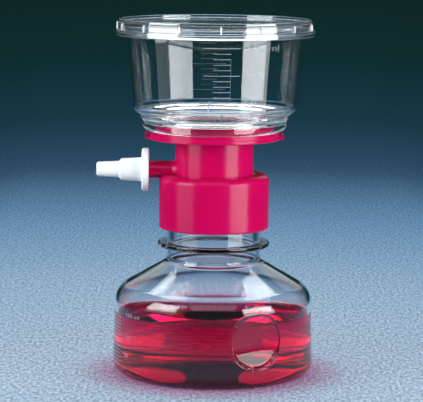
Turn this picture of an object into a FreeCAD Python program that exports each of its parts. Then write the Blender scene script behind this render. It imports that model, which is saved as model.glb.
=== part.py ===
"""Disposable vacuum filtration unit with a 150 mL receiver bottle.

A clear receiver bottle stands on its foot ring and holds the filtrate.  A moulded filter
base screws onto the bottle's neck, carries the membrane on a ribbed drain plate, and has a
vacuum side arm with a push-on tubing adapter.  A clear funnel is welded to the base and a
clear lid drops over the funnel's rim.

The frame has its origin at the middle of the bottle's foot, +Z up along the bottle's axis
and the side arm along -X.  All lengths are in millimetres.
"""
import FreeCAD, Part
import math
import os
import re

import Sketcher

SIZES = [
    # Receiver bottle
    ("bottle_radius", 45.8, "Outer radius at the bottom of the bottle's wall"),
    ("wall_taper", 1.15, "Fall of the wall's radius from the bottom up to the shoulder"),
    ("shoulder_height", 38.8, "Height where the wall meets the shoulder cone, before rounding"),
    ("shoulder_rise", 13.3, "Rise of the shoulder cone up to the neck"),
    ("shoulder_round", 9.5, "Outer radius of the shoulder's rounding"),
    ("foot_round", 6.0, "Outer radius of the rounding between foot and wall"),
    ("foot_land", 3.3, "Width of the flat foot ring"),
    ("pushup", 3.2, "Height of the concave base above the foot ring"),
    ("bottle_wall", 1.6, "Wall of the bottle's body"),
    ("neck_radius", 21.6, "Outer radius of the neck"),
    ("neck_length", 35.5, "Length of the neck from the shoulder cone up to the lip"),
    ("neck_wall", 3.2, "Wall of the neck"),
    ("bore_flare", 7.4, "Height of the bore's flare above the shoulder cone"),
    ("ring_rise", 6.4, "Height of the support ring above the shoulder cone"),
    ("ring_width", 3.8, "Width of the support ring beyond the neck"),
    ("ring_thickness", 2.2, "Thickness of the support ring"),
    ("ring_bevel", 0.7, "Bevel of the support ring's edges"),
    ("grip_radius", 11.3, "Radius of the thumb grip's dish"),
    ("grip_flare", 19.0, "Flare of the grip's edge, degrees"),
    ("grip_height", 21.8, "Height of the grip's centre"),
    ("grip_depth", 3.9, "Depth of the grip at its middle"),
    ("grip_dish_radius", 36.0, "Radius of the grip's spherical dish"),
    ("grip_azimuth", 24.4, "Turn of the bottle that sets the grip off the front, degrees"),
    ("liquid_height", 28.1, "Height of the filtrate's surface"),
    # Screw thread between the neck and the collar
    ("thread_pitch", 4.23, "Pitch of the bottle's thread"),
    ("thread_turns", 1.25, "Turns of ridge on the neck and in the collar"),
    ("thread_depth", 0.95, "Height of the thread's ridges"),
    ("thread_root_width", 2.0, "Width of a ridge at its root"),
    ("thread_crest_width", 0.9, "Width of a ridge at its crest"),
    ("thread_sink", 0.2, "Depth by which a ridge's root runs into its wall"),
    ("thread_start", 11.6, "Distance of the neck ridge's start below the lip"),
    ("thread_play", 0.25, "Gap between the two ridges at half their depth"),
    ("thread_clearance", 0.35, "Radial clearance between crests and roots"),
    # Filter base: collar, stem, side arm and drain plate in one moulding
    ("collar_wall", 2.1, "Wall of the screw collar outside its thread"),
    ("collar_depth", 20.8, "Distance of the collar's open end below the bottle's lip"),
    ("collar_roof", 2.5, "Thickness of the collar's top over the gasket"),
    ("collar_round", 3.0, "Rounding of the collar's top edge"),
    ("collar_bevel", 0.45, "Bevel of the collar's lower edge"),
    ("crease_width", 1.2, "Width of the crease in the collar's top round the stem"),
    ("crease_depth", 0.9, "Depth of that crease"),
    ("seal_thickness", 1.3, "Thickness of the gasket on the bottle's lip"),
    ("stem_radius", 17.6, "Outer radius of the stem under the plate"),
    ("stem_draft", 0.25, "Gain of the stem's radius down to its foot"),
    ("stem_wall", 1.9, "Wall of the stem"),
    ("stem_length", 15.9, "Length of the stem from the collar up to the flange"),
    ("stem_bevel", 0.6, "Bevel between the stem and the flange"),
    ("spout_radius", 5.0, "Outer radius of the drain spout"),
    ("spout_wall", 1.4, "Wall of the drain spout"),
    ("spout_reach", 3.6, "Distance of the spout's end below the bottle's lip"),
    ("flange_thickness", 1.8, "Thickness of the plate's thin flange"),
    ("flange_width", 0.35, "Width of that flange beyond the plate's wall"),
    ("boss_radius", 27.0, "Radius of the boss that centres the funnel"),
    ("boss_rise", 3.5, "Height of the boss's top, the membrane's seat, above the step"),
    ("step_width", 2.15, "Width of the step round the boss that the funnel stands on"),
    ("step_rise", 3.7, "Height of that step above the flange's underside"),
    ("drain_land", 3.6, "Width of the boss's rim round the drain recess"),
    ("drain_depth", 0.9, "Depth of the drain recess at its rim"),
    ("drain_fall", 1.4, "Fall of the recess from its rim to the spout"),
    ("drain_rib_count", 12, "Number of ribs under the membrane"),
    ("drain_rib_width", 0.9, "Width of those ribs"),
    ("drain_rib_start", 0.9, "Distance of a rib's inner end from the spout's bore"),
    ("drain_rib_sink", 0.3, "Depth by which a rib runs into the recess's floor"),
    ("arm_radius", 4.0, "Outer radius of the side arm"),
    ("arm_wall", 1.4, "Wall of the side arm"),
    ("arm_rise", 1.65, "Height of the side arm's axis above the collar's top"),
    ("arm_length", 16.0, "Distance of the side arm's end beyond the collar"),
    ("hook_gap", 0.85, "Gap between the plate's wall and a hook"),
    ("hook_post", 1.5, "Radial thickness of a hook's upright"),
    ("hook_rise", 2.8, "Height of a hook's top above the flange's underside"),
    ("hook_floor", 1.0, "Thickness of a hook under its slot"),
    ("hook_angle", 12.0, "Width of a hook around the axis, degrees"),
    ("membrane_seat", 1.6, "Width of the membrane's rim on the boss"),
    ("membrane_thickness", 0.15, "Thickness of the filter membrane"),
    ("plug_length", 10.0, "Length of the cotton plug in the side arm"),
    ("plug_inset", 3.0, "Distance of the plug from the side arm's end"),
    ("plug_clearance", 0.05, "Radial clearance around the cotton plug"),
    # Tubing adapter
    ("adapter_gap", 4.6, "Gap between the collar and the adapter's finger flange"),
    ("adapter_flange_radius", 9.77, "Radius of its finger flange"),
    ("adapter_flange_thickness", 3.25, "Thickness of its finger flange"),
    ("adapter_flange_bevel", 0.8, "Length of the bevel on the flange's outer edge"),
    ("adapter_wall", 0.88, "Wall of its sleeve at the outer end"),
    ("adapter_taper", 0.51, "Gain of the sleeve's radius from the outer end to the flange"),
    ("adapter_cap", 0.8, "Length of the sleeve beyond its inner step"),
    ("adapter_spigot_radius", 3.7, "Radius of the hose spigot at its root"),
    ("adapter_spigot_length", 10.05, "Length of the hose spigot"),
    ("adapter_tip_radius", 3.25, "Radius of the hose spigot behind its tip's bevel"),
    ("adapter_tip_bevel", 0.6, "Bevel of the hose spigot's tip"),
    ("adapter_bore_radius", 1.9, "Bore of the hose spigot"),
    ("adapter_fit", 0.07, "Radial clearance of the sleeve on the side arm"),
    ("adapter_stop_gap", 0.3, "Gap between the arm's end and the adapter's inner step"),
    # Funnel
    ("funnel_wall", 1.35, "Wall of the funnel"),
    ("funnel_floor", 3.2, "Height of the funnel's floor over its second ring's edge"),
    ("funnel_skirt_width", 3.6, "Distance of the lowest ring outside the plate's wall"),
    ("funnel_skirt_height", 5.0, "Height of the lowest ring"),
    ("funnel_skirt_round", 3.5, "Rounding of the lowest ring's lower edge"),
    ("funnel_step_width", 1.3, "Distance of the second ring's edge outside the lowest ring"),
    ("funnel_step_rise", 1.6, "Rise of the slope from the lowest ring to that edge"),
    ("funnel_notch_depth", 1.1, "Depth of the notch over the second ring"),
    ("funnel_notch_rise", 0.25, "Rise of the second ring's top into the notch"),
    ("funnel_foot_width", 3.15, "Distance of the wall's foot outside the second ring's edge"),
    ("funnel_foot_rise", 4.3, "Rise from that edge to the wall's foot"),
    ("funnel_bowl_inset", 0.9, "Distance of the bowl's steep part inside the wall's foot"),
    ("funnel_bowl_drop", 1.55, "Height of that part under the wall's foot"),
    ("funnel_corner", 0.95, "Bevel inside the funnel, between floor and wall"),
    ("funnel_flare", 3.0, "Gain of the wall's radius from its foot up to the rim"),
    ("funnel_depth", 47.2, "Height of the funnel from its seat on the plate up to its rim"),
    ("funnel_ledge_wall", 3.05, "Distance from the floor's inner ledge out to the second ring's edge"),
    ("funnel_ledge_drop", 3.2, "Depth of that ledge"),
    ("funnel_clamp", 1.4, "Width of the membrane that the funnel's inner edge holds down"),
    ("funnel_fit", 0.1, "Radial clearance of the funnel on the boss"),
    ("rim_width", 2.1, "Width of the rim bead beyond the wall"),
    ("rim_drop", 3.9, "Distance of the wall's upper end below the rim"),
    ("rim_bead_height", 3.2, "Height of the rim bead"),
    ("rim_bevel", 0.7, "Bevel of the rim bead's edges"),
    # Lid
    ("lid_wall", 1.2, "Thickness of the lid's top"),
    ("lid_skirt_wall", 1.0, "Thickness of the lid's skirt"),
    ("lid_clearance", 0.3, "Radial clearance between the rim bead and the ribs"),
    ("lid_rib_depth", 0.4, "Depth of the ribs inside the lid's skirt"),
    ("lid_rib_height", 0.8, "Height of the ribs under the lid's top"),
    ("lid_rib_length", 4.5, "Radial length of the ribs over the rim"),
    ("lid_rib_width", 0.9, "Width of a rib"),
    ("lid_rib_count", 16, "Number of ribs"),
    ("lid_rib_azimuth", 2.4, "Turn of the lid that sets a rib off the front, degrees"),
    ("lid_overlap", 4.0, "Distance of the lid's lower edge below the funnel's rim"),
    ("lid_band_drop", 1.2, "Distance of the lower band's upper edge below the rim"),
    ("lid_band_width", 0.8, "Distance of the lower band outside the skirt"),
    ("lid_bevel", 0.3, "Bevel of the lid's edges"),
    ("stack_inset", 0.5, "Distance of the stacking rim inside the skirt's outside"),
    ("stack_height", 1.3, "Height of the stacking rim above the lid's top"),
    ("stack_width", 1.1, "Width of the stacking rim"),
]

# Radii, heights and reaches that follow from the sizes, so that fitted pieces stay fitted
FITS = {
    # Receiver bottle
    "shoulder_radius": "bottle_radius - wall_taper",
    "foot_inner_radius": "bottle_radius - foot_round - foot_land",
    "neck_base_height": "shoulder_height + shoulder_rise",
    "neck_bore_radius": "neck_radius - neck_wall",
    "lip_height": "neck_base_height + neck_length",
    "ring_radius": "neck_radius + ring_width",
    "ring_height": "neck_base_height + ring_rise",
    "cone_run": "shoulder_radius - neck_radius",
    "cone_wall": "sqrt(cone_run ^ 2 + shoulder_rise ^ 2) / cone_run * bottle_wall",
    "inner_shoulder_radius": "shoulder_radius - bottle_wall",
    "inner_shoulder_height": "shoulder_height - cone_wall + shoulder_rise * bottle_wall / cone_run",
    "bore_flare_radius": "neck_bore_radius + bottle_wall",
    "bore_flare_height": "shoulder_height - cone_wall"
                         " + shoulder_rise * (shoulder_radius - bore_flare_radius) / cone_run",
    # Filter base, membrane and side arm
    "seal_top": "lip_height + seal_thickness",
    "collar_bore_radius": "neck_radius + thread_depth + thread_clearance",
    "collar_radius": "collar_bore_radius + collar_wall",
    "collar_bottom": "lip_height - collar_depth",
    "collar_top": "seal_top + collar_roof",
    "stem_foot_radius": "stem_radius + stem_draft",
    "stem_bore_radius": "stem_radius - stem_wall",
    "flange_height": "collar_top + stem_length",
    "step_height": "flange_height + step_rise",
    "boss_height": "step_height + boss_rise",
    "plate_radius": "boss_radius + step_width",
    "flange_radius": "plate_radius + flange_width",
    "spout_bore_radius": "spout_radius - spout_wall",
    "drain_radius": "boss_radius - drain_land",
    "membrane_radius": "drain_radius + membrane_seat",
    "membrane_top": "boss_height + membrane_thickness",
    "arm_height": "collar_top + arm_rise",
    "arm_reach": "collar_radius + arm_length",
    "arm_bore_radius": "arm_radius - arm_wall",
    "hook_reach": "plate_radius + hook_gap + hook_post",
    # Tubing adapter
    "sleeve_start": "collar_radius + adapter_gap",
    "sleeve_stop": "arm_reach + adapter_stop_gap",
    "sleeve_end": "sleeve_stop + adapter_cap",
    "sleeve_bore_radius": "arm_radius + adapter_fit",
    "sleeve_end_radius": "sleeve_bore_radius + adapter_wall",
    "spigot_start": "sleeve_end + sleeve_end_radius - adapter_spigot_radius",
    "spigot_end": "spigot_start + adapter_spigot_length",
    # Funnel and lid
    "funnel_bore_radius": "boss_radius + funnel_fit",
    "funnel_mouth_radius": "membrane_radius - funnel_clamp",
    "skirt_radius": "plate_radius + funnel_skirt_width",
    "skirt_top": "step_height + funnel_skirt_height",
    "second_ring_radius": "skirt_radius + funnel_step_width",
    "second_ring_height": "skirt_top + funnel_step_rise",
    "foot_radius": "second_ring_radius + funnel_foot_width",
    "foot_height": "second_ring_height + funnel_foot_rise",
    "floor_height": "second_ring_height + funnel_floor",
    "wall_top_radius": "foot_radius + funnel_flare",
    "ledge_radius": "second_ring_radius - funnel_ledge_wall",
    "ledge_height": "floor_height - funnel_ledge_drop",
    "rim_radius": "wall_top_radius + rim_width",
    "rim_height": "step_height + funnel_depth",
    "lid_bore_radius": "rim_radius + lid_clearance + lid_rib_depth",
    "lid_radius": "lid_bore_radius + lid_skirt_wall",
    "band_radius": "lid_radius + lid_band_width",
    "band_top": "rim_height - lid_band_drop",
    "lid_underside": "rim_height + lid_rib_height",
    "lid_top": "lid_underside + lid_wall",
    "stack_radius": "lid_radius - stack_inset",
}

doc = FreeCAD.newDocument("VacuumFiltrationUnit")
sheet = doc.addObject("Spreadsheet::Sheet", "Sizes")
for row, (alias, value, meaning) in enumerate(SIZES, start=1):
    sheet.set(f"A{row}", alias)
    sheet.set(f"B{row}", str(value))
    sheet.set(f"C{row}", meaning)
    sheet.setAlias(f"B{row}", alias)
doc.recompute()

ALIASES = {alias for alias, _, _ in SIZES}


def bound(text):
    """A formula with its fits written out and its sizes turned into references to the sheet."""
    def reference(match):
        word = match[0]
        if word in FITS:
            return f"({bound(FITS[word])})"
        return "Sizes." + word if word in ALIASES else word

    return re.sub(r"[a-z_]+", reference, str(text))


def size(text):
    """Value of a formula in millimetres or degrees."""
    return float(sheet.evalExpression(bound(text)))


# ---------------------------------------------------------------- sketches and features

def origin_plane(body, role):
    """One of a body's own origin planes."""
    return next(item for item in body.Origin.OriginFeatures if item.Role == role)


def new_sketch(body, name, role="XZ_Plane", offset=None, lift=None):
    """An empty sketch on an origin plane, moved along its normal or lifted in its plane."""
    sketch = body.newObject("Sketcher::SketchObject", name)
    sketch.AttachmentSupport = (origin_plane(body, role), [""])
    sketch.MapMode = "FlatFace"
    if offset is not None:
        sketch.setExpression("AttachmentOffset.Base.z", bound(offset))
    if lift is not None:
        sketch.setExpression("AttachmentOffset.Base.y", bound(lift))
    doc.recompute()
    return sketch


def pin_point(sketch, geometry, end, corner):
    """Hold a point of the sketch at a corner given as two formulas."""
    for kind, formula in zip(("DistanceX", "DistanceY"), corner):
        index = sketch.addConstraint(Sketcher.Constraint(kind, -1, 1, geometry, end, size(formula)))
        sketch.setExpression(f"Constraints[{index}]", bound(formula))


def polygon(sketch, corners):
    """Closed outline whose corners are pairs of formulas."""
    spots = [FreeCAD.Vector(size(x), size(y), 0) for x, y in corners]
    lines = [Part.LineSegment(a, b) for a, b in zip(spots, spots[1:] + spots[:1])]
    sketch.addGeometry(lines, False)
    count = len(lines)
    joins = [Sketcher.Constraint("Coincident", i, 2, (i + 1) % count, 1) for i in range(count)]
    sketch.addConstraint(joins)
    for index, corner in enumerate(corners):
        pin_point(sketch, index, 1, corner)
    doc.recompute()
    return sketch


def circle(sketch, centre, radius):
    """Circle with its centre and radius given as formulas."""
    middle = FreeCAD.Vector(size(centre[0]), size(centre[1]), 0)
    sketch.addGeometry(Part.Circle(middle, FreeCAD.Vector(0, 0, 1), size(radius)), False)
    pin_point(sketch, 0, 3, centre)
    index = sketch.addConstraint(Sketcher.Constraint("Radius", 0, size(radius)))
    sketch.setExpression(f"Constraints[{index}]", bound(radius))
    doc.recompute()
    return sketch


def feature(body, kind, name, profile, **settings):
    """A sketch-based feature; settings that are text are bound as formulas."""
    made = body.newObject("PartDesign::" + kind, name)
    made.Profile = profile
    for key, value in settings.items():
        if isinstance(value, str) and not key.startswith("Mode"):
            made.setExpression(key, bound(value))
        else:
            setattr(made, key, value)
    profile.Visibility = False
    doc.recompute()
    return made


def turned(body, name, corners, axis="V_Axis", kind="Revolution"):
    """Solid of revolution, or a turned cut, from an outline."""
    sketch = polygon(new_sketch(body, name + "Profile"), corners)
    return feature(body, kind, name, sketch, ReferenceAxis=(sketch, [axis]), Angle=360.0)


def polar_copies(body, name, original, count):
    """Repeat a feature evenly around the body's axis."""
    pattern = body.newObject("PartDesign::PolarPattern", name)
    pattern.Originals = [original]
    pattern.Axis = (origin_plane(body, "Z_Axis"), [""])
    pattern.Angle = 360.0
    pattern.setExpression("Occurrences", bound(count))
    body.Tip = pattern
    doc.recompute()
    return pattern


def dress_edges(body, kind, name, amount, rings, tolerance=0.02):
    """Fillet or Chamfer the circular edges at the given radius and height formulas."""
    base = body.Tip
    wanted = [(size(r), size(z)) for r, z in rings]
    names = []
    for index, edge in enumerate(base.Shape.Edges, start=1):
        if not isinstance(edge.Curve, Part.Circle):
            continue
        ring = (edge.Curve.Radius, edge.Curve.Center.z)
        if any(abs(ring[0] - r) < tolerance and abs(ring[1] - z) < tolerance for r, z in wanted):
            names.append(f"Edge{index}")
    if len(names) < len(rings):
        raise ValueError(f"{name}: found {len(names)} of {len(rings)} edges")
    dressed = body.newObject("PartDesign::" + kind, name)
    dressed.Base = (base, names)
    dressed.setExpression("Radius" if kind == "Fillet" else "Size", bound(amount))
    doc.recompute()
    return dressed


def new_body(label):
    """An empty PartDesign body."""
    body = doc.addObject("PartDesign::Body", label)
    body.Label = label
    return body


def thread_ridge(body, name, root, crest, start):
    """Right-handed helical ridge from the root radius to the crest radius."""
    sunk_root = f"{root} - thread_sink" if size(crest) > size(root) else f"{root} + thread_sink"
    sketch = polygon(new_sketch(body, name + "Profile"), [
        (sunk_root, f"{start} - thread_root_width / 2"),
        (crest, f"{start} - thread_crest_width / 2"),
        (crest, f"{start} + thread_crest_width / 2"),
        (sunk_root, f"{start} + thread_root_width / 2"),
    ])
    return feature(body, "AdditiveHelix", name, sketch, ReferenceAxis=(sketch, ["V_Axis"]),
                   Mode=1, Pitch="thread_pitch", Turns="thread_turns", LeftHanded=False)


# ---------------------------------------------------------------- receiver bottle

def thumb_grip(body, name, thicken):
    """Cut the thumb grip: a spherical dish with a flared edge, sunk into the wall.

    thicken adds the bottle's wall, for the dent that the grip makes in the cavity.
    """
    radius = f"(grip_dish_radius + {thicken})"
    centre = "(grip_depth - bottle_radius - grip_dish_radius)"
    edge = f"(grip_radius + {thicken})"
    rim = f"({centre} + sqrt({radius} ^ 2 - {edge} ^ 2))"
    mouth = "(-bottle_radius - grip_depth)"
    outer = f"({edge} + ({rim} - {mouth}) * tan(grip_flare))"
    sketch = new_sketch(body, name + "Profile", "YZ_Plane", lift="grip_height")
    middle = FreeCAD.Vector(size(centre), 0, 0)
    dish = Part.Circle(middle, FreeCAD.Vector(0, 0, 1), size(radius))
    deepest, corner, mouth_edge, mouth_middle = [FreeCAD.Vector(size(x), size(y), 0) for x, y in (
        (f"{centre} + {radius}", "0"), (rim, edge), (mouth, outer), (mouth, "0"))]
    sketch.addGeometry([
        Part.ArcOfCircle(dish, 0, math.asin(size(edge) / size(radius))),
        Part.LineSegment(corner, mouth_edge),
        Part.LineSegment(mouth_edge, mouth_middle),
        Part.LineSegment(mouth_middle, deepest),
    ], False)
    sketch.addConstraint([Sketcher.Constraint("Coincident", i, 2, (i + 1) % 4, 1) for i in range(4)])
    sketch.addConstraint(Sketcher.Constraint("PointOnObject", 0, 1, -1))
    sketch.addConstraint(Sketcher.Constraint("PointOnObject", 0, 3, -1))
    pin_point(sketch, 1, 1, (rim, edge))
    pin_point(sketch, 2, 1, (mouth, outer))
    pin_point(sketch, 3, 1, (mouth, "0"))
    index = sketch.addConstraint(Sketcher.Constraint("Radius", 0, size(radius)))
    sketch.setExpression(f"Constraints[{index}]", bound(radius))
    doc.recompute()
    before = body.Shape.Volume
    feature(body, "Groove", name, sketch, ReferenceAxis=(sketch, ["H_Axis"]), Angle=360.0)
    if body.Shape.Volume > before - 1.0:
        raise ValueError(f"{name} cut nothing")


def bottle_blank():
    """Outside of the bottle as a filled solid, with the support ring and the thread."""
    body = new_body("bottle_blank")
    turned(body, "BottleOutside", [
        ("0", "pushup"),
        ("foot_inner_radius", "0"),
        ("bottle_radius", "0"),
        ("shoulder_radius", "shoulder_height"),
        ("neck_radius", "neck_base_height"),
        ("neck_radius", "ring_height"),
        ("ring_radius", "ring_height"),
        ("ring_radius", "ring_height + ring_thickness"),
        ("neck_radius", "ring_height + ring_thickness"),
        ("neck_radius", "lip_height"),
        ("0", "lip_height"),
    ])
    dress_edges(body, "Fillet", "FootRound", "foot_round", [("bottle_radius", "0")])
    dress_edges(body, "Fillet", "ShoulderRound", "shoulder_round",
                [("shoulder_radius", "shoulder_height")])
    dress_edges(body, "Fillet", "NeckRound", "bottle_wall", [("neck_radius", "neck_base_height")])
    dress_edges(body, "Chamfer", "RingBevel", "ring_bevel", [
        ("ring_radius", "ring_height"),
        ("ring_radius", "ring_height + ring_thickness"),
    ])
    thumb_grip(body, "Grip", "0")
    thread_ridge(body, "NeckThread", "neck_radius", "neck_radius + thread_depth",
                 "lip_height - thread_start")
    return body


def bottle_cavity():
    """Space inside the bottle: the outside moved in by the wall, then the straight bore."""
    body = new_body("bottle_cavity")
    turned(body, "BottleInside", [
        ("0", "pushup + bottle_wall"),
        ("foot_inner_radius", "bottle_wall"),
        ("bottle_radius - bottle_wall", "bottle_wall"),
        ("inner_shoulder_radius", "inner_shoulder_height"),
        ("bore_flare_radius", "bore_flare_height"),
        ("neck_bore_radius", "neck_base_height + bore_flare"),
        ("neck_bore_radius", "lip_height"),
        ("0", "lip_height"),
    ])
    dress_edges(body, "Fillet", "InnerFootRound", "foot_round - bottle_wall",
                [("bottle_radius - bottle_wall", "bottle_wall")])
    dress_edges(body, "Fillet", "InnerShoulderRound", "shoulder_round - bottle_wall",
                [("inner_shoulder_radius", "inner_shoulder_height")])
    thumb_grip(body, "InnerGrip", "bottle_wall")
    return body


def boolean(kind, label, base, tool):
    """Part boolean of two objects."""
    made = doc.addObject("Part::" + kind, label)
    made.Label = label
    made.Base = base
    made.Tool = tool
    doc.recompute()
    return made


def receiver_and_filtrate():
    """The bottle, and the liquid that fills its cavity up to the filling mark."""
    inside = bottle_cavity()
    bottle = boolean("Cut", "receiver_bottle", bottle_blank(), inside)
    level = doc.addObject("Part::Cylinder", "LiquidLevel")
    level.setExpression("Radius", bound("bottle_radius"))
    level.setExpression("Height", bound("liquid_height"))
    liquid = boolean("Common", "filtrate", inside, level)
    for piece in (bottle, liquid):
        piece.setExpression("Placement.Rotation.Angle", bound("grip_azimuth"))
        piece.Placement.Rotation.Axis = FreeCAD.Vector(0, 0, 1)
    return bottle, liquid


# ---------------------------------------------------------------- filter base and its inserts

def filter_base():
    """Collar, stem, side arm, drain spout and plate, moulded as one piece."""
    body = new_body("filter_base")
    turned(body, "BaseSection", [
        ("spout_bore_radius", "lip_height - spout_reach"),
        ("spout_radius", "lip_height - spout_reach"),
        ("spout_radius", "flange_height - flange_thickness"),
        ("stem_bore_radius", "flange_height - flange_thickness"),
        ("stem_bore_radius", "seal_top"),
        ("collar_bore_radius", "seal_top"),
        ("collar_bore_radius", "collar_bottom"),
        ("collar_radius", "collar_bottom"),
        ("collar_radius", "collar_top"),
        ("stem_foot_radius + crease_width", "collar_top"),
        ("stem_foot_radius + crease_width / 2", "collar_top - crease_depth"),
        ("stem_foot_radius", "collar_top - crease_depth"),
        ("stem_radius", "flange_height"),
        ("flange_radius", "flange_height"),
        ("flange_radius", "flange_height + flange_thickness"),
        ("plate_radius", "flange_height + flange_thickness"),
        ("plate_radius", "step_height"),
        ("boss_radius", "step_height"),
        ("boss_radius", "boss_height"),
        ("drain_radius", "boss_height"),
        ("drain_radius", "boss_height - drain_depth"),
        ("spout_bore_radius", "boss_height - drain_depth - drain_fall"),
    ])
    dress_edges(body, "Fillet", "CollarRound", "collar_round", [("collar_radius", "collar_top")])
    dress_edges(body, "Chamfer", "CollarBevel", "collar_bevel", [("collar_radius", "collar_bottom")])
    dress_edges(body, "Chamfer", "StemBevel", "stem_bevel", [("stem_radius", "flange_height")])
    arm_start = "(stem_foot_radius - stem_wall / 2)"
    arm = circle(new_sketch(body, "ArmProfile", "YZ_Plane", f"-{arm_start}"),
                 ("0", "arm_height"), "arm_radius")
    feature(body, "Pad", "SideArm", arm, Length=f"arm_reach - {arm_start}", Reversed=True)
    bore_start = "(stem_foot_radius - stem_wall * 2)"
    bore = circle(new_sketch(body, "ArmBoreProfile", "YZ_Plane", f"-{bore_start}"),
                  ("0", "arm_height"), "arm_bore_radius")
    feature(body, "Pocket", "SideArmBore", bore, Length=f"arm_reach - {bore_start}", Reversed=False)
    recess = "(boss_height - drain_depth)"
    rib = polygon(new_sketch(body, "DrainRibProfile"), [
        ("spout_bore_radius + drain_rib_start", f"{recess} - drain_fall - drain_rib_sink"),
        ("drain_radius", f"{recess} - drain_rib_sink"),
        ("drain_radius", "boss_height"),
        ("spout_bore_radius + drain_rib_start", "boss_height"),
    ])
    rib_pad = feature(body, "Pad", "DrainRib", rib, Length="drain_rib_width", Midplane=True)
    polar_copies(body, "DrainRibs", rib_pad, "drain_rib_count")
    hook = polygon(new_sketch(body, "HookProfile"), [
        ("plate_radius - hook_post", "flange_height"),
        ("hook_reach", "flange_height"),
        ("hook_reach", "flange_height + hook_rise"),
        ("hook_reach - hook_post", "flange_height + hook_rise"),
        ("hook_reach - hook_post", "flange_height + hook_floor"),
        ("plate_radius - hook_post", "flange_height + hook_floor"),
    ])
    hook_solid = feature(body, "Revolution", "Hook", hook, ReferenceAxis=(hook, ["V_Axis"]),
                         Angle="hook_angle", Midplane=True)
    polar_copies(body, "Hooks", hook_solid, "2")
    thread_ridge(body, "CollarThread", "collar_bore_radius", "(collar_bore_radius - thread_depth)",
                 "(lip_height - thread_start - (thread_root_width + thread_crest_width) / 2"
                 " - thread_play - thread_pitch * grip_azimuth / 360)")
    return body


def tube(label, outer, inner, bottom, height):
    """Flat ring, or a disc where the inner radius is nothing."""
    body = new_body(label)
    turned(body, label.title().replace("_", ""), [
        (inner, bottom),
        (outer, bottom),
        (outer, f"{bottom} + {height}"),
        (inner, f"{bottom} + {height}"),
    ])
    return body


def cotton_plug():
    """Filter plug in the side arm's bore."""
    body = new_body("cotton_plug")
    sketch = circle(new_sketch(body, "PlugProfile", "YZ_Plane", "-(arm_reach - plug_inset)"),
                    ("0", "arm_height"), "arm_bore_radius - plug_clearance")
    feature(body, "Pad", "Plug", sketch, Length="plug_length")
    return body


# ---------------------------------------------------------------- funnel, lid and adapter

def funnel():
    """Clear upper chamber with a stepped foot and a beaded rim."""
    body = new_body("funnel")
    turned(body, "FunnelSection", [
        ("funnel_mouth_radius", "membrane_top"),
        ("funnel_bore_radius", "membrane_top"),
        ("funnel_bore_radius", "step_height"),
        ("skirt_radius", "step_height"),
        ("skirt_radius", "skirt_top"),
        ("second_ring_radius", "second_ring_height"),
        ("second_ring_radius - funnel_notch_depth", "second_ring_height + funnel_notch_rise"),
        ("foot_radius - funnel_bowl_inset", "foot_height - funnel_bowl_drop"),
        ("foot_radius", "foot_height"),
        ("wall_top_radius", "rim_height - rim_drop"),
        ("rim_radius", "rim_height - rim_bead_height"),
        ("rim_radius", "rim_height"),
        ("wall_top_radius - funnel_wall", "rim_height"),
        ("wall_top_radius - funnel_wall", "rim_height - rim_drop"),
        ("foot_radius - funnel_wall", "foot_height + funnel_wall / 2"),
        ("foot_radius - funnel_wall - funnel_corner", "floor_height"),
        ("ledge_radius", "floor_height"),
        ("ledge_radius", "ledge_height"),
        ("funnel_mouth_radius + funnel_wall", "ledge_height - funnel_wall / 2"),
        ("funnel_mouth_radius", "membrane_top + funnel_wall"),
    ])
    dress_edges(body, "Fillet", "SkirtRound", "funnel_skirt_round", [("skirt_radius", "step_height")])
    dress_edges(body, "Fillet", "FootRound", "funnel_wall", [("foot_radius", "foot_height")])
    dress_edges(body, "Chamfer", "RimBevel", "rim_bevel", [
        ("rim_radius", "rim_height"),
        ("rim_radius", "rim_height - rim_bead_height"),
    ])
    return body


def lid():
    """Clear lid with a stepped skirt, a stacking rim and ribs that rest on the funnel."""
    body = new_body("lid")
    turned(body, "LidSection", [
        ("band_radius - lid_skirt_wall", "rim_height - lid_overlap"),
        ("band_radius", "rim_height - lid_overlap"),
        ("band_radius", "band_top"),
        ("lid_radius", "band_top"),
        ("lid_radius", "lid_top"),
        ("stack_radius", "lid_top"),
        ("stack_radius", "lid_top + stack_height"),
        ("stack_radius - stack_width", "lid_top + stack_height"),
        ("stack_radius - stack_width", "lid_top"),
        ("0", "lid_top"),
        ("0", "lid_underside"),
        ("lid_bore_radius", "lid_underside"),
        ("lid_bore_radius", "band_top - lid_skirt_wall"),
        ("band_radius - lid_skirt_wall", "band_top - lid_skirt_wall"),
    ])
    dress_edges(body, "Chamfer", "LidBevel", "lid_bevel", [
        ("band_radius", "rim_height - lid_overlap"),
        ("band_radius", "band_top"),
        ("stack_radius", "lid_top + stack_height"),
        ("stack_radius - stack_width", "lid_top + stack_height"),
    ])
    rib_inside = "-(rim_radius - lid_rib_length)"
    rib_outside = "-(lid_bore_radius + lid_skirt_wall / 2)"
    rib = polygon(new_sketch(body, "LidRibProfile", "YZ_Plane"), [
        (rib_inside, "rim_height"),
        ("-(rim_radius + lid_clearance)", "rim_height"),
        ("-(rim_radius + lid_clearance)", "band_top - lid_skirt_wall"),
        (rib_outside, "band_top - lid_skirt_wall"),
        (rib_outside, "lid_underside + lid_wall / 2"),
        (rib_inside, "lid_underside + lid_wall / 2"),
    ])
    rib_pad = feature(body, "Pad", "LidRib", rib, Length="lid_rib_width", Midplane=True)
    polar_copies(body, "LidRibs", rib_pad, "lid_rib_count")
    body.setExpression("Placement.Rotation.Angle", bound("lid_rib_azimuth"))
    body.Placement.Rotation.Axis = FreeCAD.Vector(0, 0, 1)
    return body


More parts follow.
